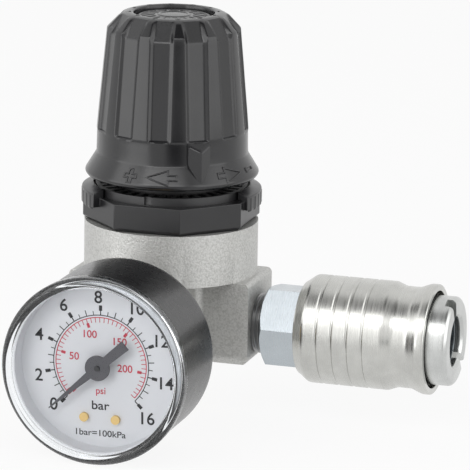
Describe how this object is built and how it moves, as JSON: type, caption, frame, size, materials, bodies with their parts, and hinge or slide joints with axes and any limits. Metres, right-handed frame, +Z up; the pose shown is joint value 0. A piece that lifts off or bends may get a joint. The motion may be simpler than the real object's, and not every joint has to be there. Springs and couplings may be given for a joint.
{
  "type": "compressed air pressure regulator",
  "caption": "Air pressure regulator with a push-to-lock fluted knob, cast cross-shaped body, round dial gauge on the front and a quick-connect coupler on the outlet.",
  "frame": {"origin": "centre of the inlet port's mouth", "axes": "+X along the air path from the inlet to the coupler, +Z up along the adjusting screw to the knob, -Y towards the gauge's reader"},
  "size_m": [0.0882, 0.0767, 0.0903],
  "materials": {
    "casting": "sand cast, satin",
    "bonnet": "black glass-filled plastic",
    "knob": "black satin plastic",
    "gauge_case": "black enamel",
    "window": "clear polished plastic",
    "dial": "printed, matt white",
    "pointer": "dark grey",
    "brass": "turned",
    "zinc_steel": "zinc plated, turned",
    "sleeve_steel": "brushed zinc plate",
    "spring_steel": "drawn wire",
    "rubber": "moulded nitrile rubber"
  },
  "bodies": {
    "regulator": {"body_casting": "casting", "valve_seat": "brass", "valve_spring": "spring_steel", "bottom_plug": "brass", "bottom_plug_seal": "rubber", "rear_port_plug": "zinc_steel", "diaphragm": "rubber", "bonnet": "bonnet", "panel_nut": "bonnet", "gauge_case": "gauge_case", "gauge_window": "window", "gauge_dial": "dial", "bourdon_tube": "brass", "gauge_socket": "brass", "dial_screws": "brass", "movement_frame": "brass", "coupler_body": "zinc_steel", "coupler_barrel": "zinc_steel", "coupler_nose": "zinc_steel", "sleeve_spring": "spring_steel", "sleeve_stop_ring": "spring_steel", "locking_balls": "zinc_steel", "coupler_seal": "rubber", "coupler_valve_spring": "spring_steel"},
    "screw": {"adjusting_screw": "brass", "screw_clip": "spring_steel"},
    "knob": {"knob": "knob", "knob_cap": "knob"},
    "spring_plate": {"spring_plate": "zinc_steel", "main_spring": "spring_steel"},
    "diaphragm_plate": {"diaphragm_plate": "zinc_steel", "relief_seat": "brass"},
    "valve": {"valve_poppet": "brass", "valve_seal": "rubber"},
    "pointer": {"gauge_pointer": "pointer", "pointer_arbor": "zinc_steel"},
    "sector": {"sector_gear": "brass", "tube_link": "brass"},
    "sleeve": {"coupler_sleeve": "sleeve_steel"},
    "coupler_valve": {"coupler_valve": "brass"}
  },
  "joints": [
    {"name": "screw_turn", "type": "hinge", "parent": "regulator", "child": "screw", "pos_m": [0.0212, 0, 0.05], "axis": [0, 0, -1], "range_deg": [0, 1440]},
    {"name": "spring_plate_slide", "type": "slide", "parent": "regulator", "child": "spring_plate", "axis": [0, 0, -1], "range_m": [0, 0.006], "deforming": ["main_spring"]},
    {"name": "knob_lock", "type": "slide", "parent": "screw", "child": "knob", "axis": [0, 0, -1], "range_m": [0, 0.0016]},
    {"name": "diaphragm_slide", "type": "slide", "parent": "regulator", "child": "diaphragm_plate", "axis": [0, 0, -1], "range_m": [0, 0.0012], "stiffness_N_per_m": 3000, "deforming": ["diaphragm"]},
    {"name": "valve_slide", "type": "slide", "parent": "regulator", "child": "valve", "axis": [0, 0, -1], "range_m": [0, 0.0012], "deforming": ["valve_spring"]},
    {"name": "pointer_turn", "type": "hinge", "parent": "regulator", "child": "pointer", "pos_m": [0.0212, -0.0495, 0], "axis": [0, 1, 0], "range_deg": [0, 270], "stiffness_Nm_per_rad": 0.002},
    {"name": "sector_turn", "type": "hinge", "parent": "regulator", "child": "sector", "pos_m": [0.01114, -0.038, -0.00581], "axis": [0, 1, 0], "range_deg": [-41, 0]},
    {"name": "sleeve_slide", "type": "slide", "parent": "regulator", "child": "sleeve", "axis": [-1, 0, 0], "range_m": [0, 0.0045], "stiffness_N_per_m": 800, "springref_m": -0.004, "deforming": ["sleeve_spring"]},
    {"name": "coupler_valve_slide", "type": "slide", "parent": "regulator", "child": "coupler_valve", "axis": [-1, 0, 0], "range_m": [0, 0.003], "stiffness_N_per_m": 500, "springref_m": -0.003, "deforming": ["coupler_valve_spring"]}
  ],
  "couplings": [
    {"joint": "spring_plate_slide", "follows": "screw_turn", "m_per_rad": 0.0002387},
    {"joint": "valve_slide", "follows": "diaphragm_slide", "ratio": 1},
    {"joint": "sector_turn", "follows": "pointer_turn", "ratio": -0.15}
  ]
}
